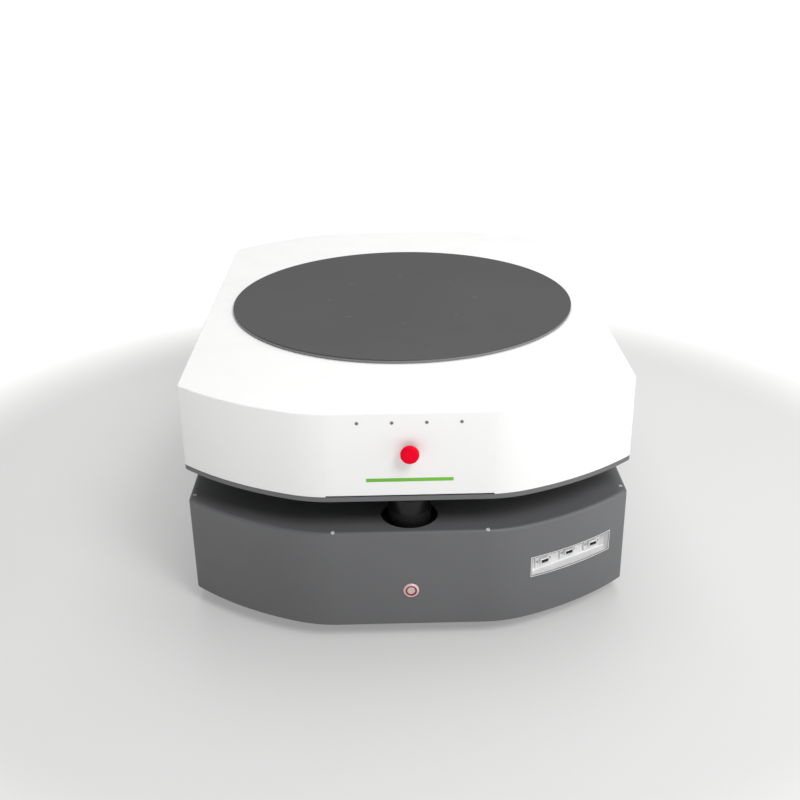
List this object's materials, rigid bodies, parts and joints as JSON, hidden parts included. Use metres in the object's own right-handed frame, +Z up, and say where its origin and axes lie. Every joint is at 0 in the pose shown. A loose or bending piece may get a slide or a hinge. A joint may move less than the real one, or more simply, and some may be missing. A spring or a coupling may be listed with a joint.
{
  "type": "mecanum wheel robot",
  "caption": "Low omnidirectional transport robot on mecanum wheels, with an overhanging upper body and a round lifting turntable on top.",
  "frame": {"origin": "on the floor under the middle of the body", "axes": "+Z up, -Y towards the front, +X to the right as seen from the front; left and right in names are as seen from the front"},
  "size_m": [0.8, 1.176, 0.4492],
  "materials": {
    "white_paint": "satin powder coat",
    "grey_paint": "satin powder coat",
    "frame_paint": "matte black powder coat",
    "motor_paint": "satin",
    "battery_case": "moulded, matte",
    "scanner_black": "smooth",
    "recess_metal": "bead blasted",
    "connector_black": "moulded",
    "lift_steel": "turned",
    "disc_paint": "fine textured grey coat, bare bright edge",
    "collar_black": "moulded",
    "stop_red": "smooth",
    "bezel_steel": "satin",
    "button_steel": "satin with a red ring",
    "hub_metal": "machined",
    "roller_rubber": "matte polyurethane"
  },
  "bodies": {
    "chassis": {"lower_shell": "grey_paint", "chassis_frame": "frame_paint", "battery_pack": "battery_case", "lidar_front": "scanner_black", "lidar_rear": "scanner_black", "io_tray": "recess_metal", "io_port_1": "connector_black", "io_port_2": "connector_black", "io_port_3": "connector_black", "upper_tray": "grey_paint", "upper_cover": "white_paint", "front_panel": "white_paint", "estop_collar_front": "collar_black", "estop_collar_rear": "collar_black", "power_bezel": "bezel_steel", "drive_motor_front_left": "motor_paint", "drive_motor_front_right": "motor_paint", "drive_motor_rear_left": "motor_paint", "drive_motor_rear_right": "motor_paint"},
    "lift": {"lift_column": "lift_steel"},
    "turntable": {"lift_disc": "disc_paint"},
    "estop_front": {"estop_head_front": "stop_red"},
    "estop_rear": {"estop_head_rear": "stop_red"},
    "power_button": {"power_cap": "button_steel"},
    "wheel_front_left": {"hub_front_left": "hub_metal"},
    "roller_front_left_1": {"roller_front_left_1": "roller_rubber"},
    "roller_front_left_2": {"roller_front_left_2": "roller_rubber"},
    "roller_front_left_3": {"roller_front_left_3": "roller_rubber"},
    "roller_front_left_4": {"roller_front_left_4": "roller_rubber"},
    "roller_front_left_5": {"roller_front_left_5": "roller_rubber"},
    "roller_front_left_6": {"roller_front_left_6": "roller_rubber"},
    "roller_front_left_7": {"roller_front_left_7": "roller_rubber"},
    "roller_front_left_8": {"roller_front_left_8": "roller_rubber"},
    "wheel_front_right": {"hub_front_right": "hub_metal"},
    "roller_front_right_1": {"roller_front_right_1": "roller_rubber"},
    "roller_front_right_2": {"roller_front_right_2": "roller_rubber"},
    "roller_front_right_3": {"roller_front_right_3": "roller_rubber"},
    "roller_front_right_4": {"roller_front_right_4": "roller_rubber"},
    "roller_front_right_5": {"roller_front_right_5": "roller_rubber"},
    "roller_front_right_6": {"roller_front_right_6": "roller_rubber"},
    "roller_front_right_7": {"roller_front_right_7": "roller_rubber"},
    "roller_front_right_8": {"roller_front_right_8": "roller_rubber"},
    "wheel_rear_left": {"hub_rear_left": "hub_metal"},
    "roller_rear_left_1": {"roller_rear_left_1": "roller_rubber"},
    "roller_rear_left_2": {"roller_rear_left_2": "roller_rubber"},
    "roller_rear_left_3": {"roller_rear_left_3": "roller_rubber"},
    "roller_rear_left_4": {"roller_rear_left_4": "roller_rubber"},
    "roller_rear_left_5": {"roller_rear_left_5": "roller_rubber"},
    "roller_rear_left_6": {"roller_rear_left_6": "roller_rubber"},
    "roller_rear_left_7": {"roller_rear_left_7": "roller_rubber"},
    "roller_rear_left_8": {"roller_rear_left_8": "roller_rubber"},
    "wheel_rear_right": {"hub_rear_right": "hub_metal"},
    "roller_rear_right_1": {"roller_rear_right_1": "roller_rubber"},
    "roller_rear_right_2": {"roller_rear_right_2": "roller_rubber"},
    "roller_rear_right_3": {"roller_rear_right_3": "roller_rubber"},
    "roller_rear_right_4": {"roller_rear_right_4": "roller_rubber"},
    "roller_rear_right_5": {"roller_rear_right_5": "roller_rubber"},
    "roller_rear_right_6": {"roller_rear_right_6": "roller_rubber"},
    "roller_rear_right_7": {"roller_rear_right_7": "roller_rubber"},
    "roller_rear_right_8": {"roller_rear_right_8": "roller_rubber"}
  },
  "joints": [
    {"name": "lift_slide", "type": "slide", "parent": "chassis", "child": "lift", "axis": [0, 0, 1], "range_m": [0, 0.06]},
    {"name": "turntable_spin", "type": "hinge", "parent": "lift", "child": "turntable", "pos_m": [0, 0, 0.4418], "axis": [0, 0, 1], "continuous": true},
    {"name": "estop_front_press", "type": "slide", "parent": "chassis", "child": "estop_front", "axis": [0, 1, 0], "range_m": [0, 0.004]},
    {"name": "estop_rear_press", "type": "slide", "parent": "chassis", "child": "estop_rear", "axis": [0, -1, 0], "range_m": [0, 0.004]},
    {"name": "power_press", "type": "slide", "parent": "chassis", "child": "power_button", "axis": [0, 1, 0], "range_m": [0, 0.002], "stiffness_N_per_m": 1200},
    {"name": "wheel_front_left_spin", "type": "hinge", "parent": "chassis", "child": "wheel_front_left", "pos_m": [-0.345, -0.34, 0.076], "axis": [1, 0, 0], "continuous": true},
    {"name": "roller_front_left_1_spin", "type": "hinge", "parent": "wheel_front_left", "child": "roller_front_left_1", "pos_m": [-0.345, -0.34, 0.138], "axis": [0.7071, 0.7071, 0], "continuous": true},
    {"name": "roller_front_left_2_spin", "type": "hinge", "parent": "wheel_front_left", "child": "roller_front_left_2", "pos_m": [-0.345, -0.38384, 0.11984], "axis": [0.7071, 0.5, 0.5], "continuous": true},
    {"name": "roller_front_left_3_spin", "type": "hinge", "parent": "wheel_front_left", "child": "roller_front_left_3", "pos_m": [-0.345, -0.402, 0.076], "axis": [0.7071, 0, 0.7071], "continuous": true},
    {"name": "roller_front_left_4_spin", "type": "hinge", "parent": "wheel_front_left", "child": "roller_front_left_4", "pos_m": [-0.345, -0.38384, 0.03216], "axis": [0.7071, -0.5, 0.5], "continuous": true},
    {"name": "roller_front_left_5_spin", "type": "hinge", "parent": "wheel_front_left", "child": "roller_front_left_5", "pos_m": [-0.345, -0.34, 0.014], "axis": [0.7071, -0.7071, 0], "continuous": true},
    {"name": "roller_front_left_6_spin", "type": "hinge", "parent": "wheel_front_left", "child": "roller_front_left_6", "pos_m": [-0.345, -0.29616, 0.03216], "axis": [0.7071, -0.5, -0.5], "continuous": true},
    {"name": "roller_front_left_7_spin", "type": "hinge", "parent": "wheel_front_left", "child": "roller_front_left_7", "pos_m": [-0.345, -0.278, 0.076], "axis": [0.7071, 0, -0.7071], "continuous": true},
    {"name": "roller_front_left_8_spin", "type": "hinge", "parent": "wheel_front_left", "child": "roller_front_left_8", "pos_m": [-0.345, -0.29616, 0.11984], "axis": [0.7071, 0.5, -0.5], "continuous": true},
    {"name": "wheel_front_right_spin", "type": "hinge", "parent": "chassis", "child": "wheel_front_right", "pos_m": [0.345, -0.34, 0.076], "axis": [1, 0, 0], "continuous": true},
    {"name": "roller_front_right_1_spin", "type": "hinge", "parent": "wheel_front_right", "child": "roller_front_right_1", "pos_m": [0.345, -0.34, 0.138], "axis": [0.7071, -0.7071, 0], "continuous": true},
    {"name": "roller_front_right_2_spin", "type": "hinge", "parent": "wheel_front_right", "child": "roller_front_right_2", "pos_m": [0.345, -0.38384, 0.11984], "axis": [0.7071, -0.5, -0.5], "continuous": true},
    {"name": "roller_front_right_3_spin", "type": "hinge", "parent": "wheel_front_right", "child": "roller_front_right_3", "pos_m": [0.345, -0.402, 0.076], "axis": [0.7071, 0, -0.7071], "continuous": true},
    {"name": "roller_front_right_4_spin", "type": "hinge", "parent": "wheel_front_right", "child": "roller_front_right_4", "pos_m": [0.345, -0.38384, 0.03216], "axis": [0.7071, 0.5, -0.5], "continuous": true},
    {"name": "roller_front_right_5_spin", "type": "hinge", "parent": "wheel_front_right", "child": "roller_front_right_5", "pos_m": [0.345, -0.34, 0.014], "axis": [0.7071, 0.7071, 0], "continuous": true},
    {"name": "roller_front_right_6_spin", "type": "hinge", "parent": "wheel_front_right", "child": "roller_front_right_6", "pos_m": [0.345, -0.29616, 0.03216], "axis": [0.7071, 0.5, 0.5], "continuous": true},
    {"name": "roller_front_right_7_spin", "type": "hinge", "parent": "wheel_front_right", "child": "roller_front_right_7", "pos_m": [0.345, -0.278, 0.076], "axis": [0.7071, 0, 0.7071], "continuous": true},
    {"name": "roller_front_right_8_spin", "type": "hinge", "parent": "wheel_front_right", "child": "roller_front_right_8", "pos_m": [0.345, -0.29616, 0.11984], "axis": [0.7071, -0.5, 0.5], "continuous": true},
    {"name": "wheel_rear_left_spin", "type": "hinge", "parent": "chassis", "child": "wheel_rear_left", "pos_m": [-0.345, 0.34, 0.076], "axis": [1, 0, 0], "continuous": true},
    {"name": "roller_rear_left_1_spin", "type": "hinge", "parent": "wheel_rear_left", "child": "roller_rear_left_1", "pos_m": [-0.345, 0.34, 0.138], "axis": [0.7071, -0.7071, 0], "continuous": true},
    {"name": "roller_rear_left_2_spin", "type": "hinge", "parent": "wheel_rear_left", "child": "roller_rear_left_2", "pos_m": [-0.345, 0.29616, 0.11984], "axis": [0.7071, -0.5, -0.5], "continuous": true},
    {"name": "roller_rear_left_3_spin", "type": "hinge", "parent": "wheel_rear_left", "child": "roller_rear_left_3", "pos_m": [-0.345, 0.278, 0.076], "axis": [0.7071, 0, -0.7071], "continuous": true},
    {"name": "roller_rear_left_4_spin", "type": "hinge", "parent": "wheel_rear_left", "child": "roller_rear_left_4", "pos_m": [-0.345, 0.29616, 0.03216], "axis": [0.7071, 0.5, -0.5], "continuous": true},
    {"name": "roller_rear_left_5_spin", "type": "hinge", "parent": "wheel_rear_left", "child": "roller_rear_left_5", "pos_m": [-0.345, 0.34, 0.014], "axis": [0.7071, 0.7071, 0], "continuous": true},
    {"name": "roller_rear_left_6_spin", "type": "hinge", "parent": "wheel_rear_left", "child": "roller_rear_left_6", "pos_m": [-0.345, 0.38384, 0.03216], "axis": [0.7071, 0.5, 0.5], "continuous": true},
    {"name": "roller_rear_left_7_spin", "type": "hinge", "parent": "wheel_rear_left", "child": "roller_rear_left_7", "pos_m": [-0.345, 0.402, 0.076], "axis": [0.7071, 0, 0.7071], "continuous": true},
    {"name": "roller_rear_left_8_spin", "type": "hinge", "parent": "wheel_rear_left", "child": "roller_rear_left_8", "pos_m": [-0.345, 0.38384, 0.11984], "axis": [0.7071, -0.5, 0.5], "continuous": true},
    {"name": "wheel_rear_right_spin", "type": "hinge", "parent": "chassis", "child": "wheel_rear_right", "pos_m": [0.345, 0.34, 0.076], "axis": [1, 0, 0], "continuous": true},
    {"name": "roller_rear_right_1_spin", "type": "hinge", "parent": "wheel_rear_right", "child": "roller_rear_right_1", "pos_m": [0.345, 0.34, 0.138], "axis": [0.7071, 0.7071, 0], "continuous": true},
    {"name": "roller_rear_right_2_spin", "type": "hinge", "parent": "wheel_rear_right", "child": "roller_rear_right_2", "pos_m": [0.345, 0.29616, 0.11984], "axis": [0.7071, 0.5, 0.5], "continuous": true},
    {"name": "roller_rear_right_3_spin", "type": "hinge", "parent": "wheel_rear_right", "child": "roller_rear_right_3", "pos_m": [0.345, 0.278, 0.076], "axis": [0.7071, 0, 0.7071], "continuous": true},
    {"name": "roller_rear_right_4_spin", "type": "hinge", "parent": "wheel_rear_right", "child": "roller_rear_right_4", "pos_m": [0.345, 0.29616, 0.03216], "axis": [0.7071, -0.5, 0.5], "continuous": true},
    {"name": "roller_rear_right_5_spin", "type": "hinge", "parent": "wheel_rear_right", "child": "roller_rear_right_5", "pos_m": [0.345, 0.34, 0.014], "axis": [0.7071, -0.7071, 0], "continuous": true},
    {"name": "roller_rear_right_6_spin", "type": "hinge", "parent": "wheel_rear_right", "child": "roller_rear_right_6", "pos_m": [0.345, 0.38384, 0.03216], "axis": [0.7071, -0.5, -0.5], "continuous": true},
    {"name": "roller_rear_right_7_spin", "type": "hinge", "parent": "wheel_rear_right", "child": "roller_rear_right_7", "pos_m": [0.345, 0.402, 0.076], "axis": [0.7071, 0, -0.7071], "continuous": true},
    {"name": "roller_rear_right_8_spin", "type": "hinge", "parent": "wheel_rear_right", "child": "roller_rear_right_8", "pos_m": [0.345, 0.38384, 0.11984], "axis": [0.7071, 0.5, -0.5], "continuous": true}
  ]
}
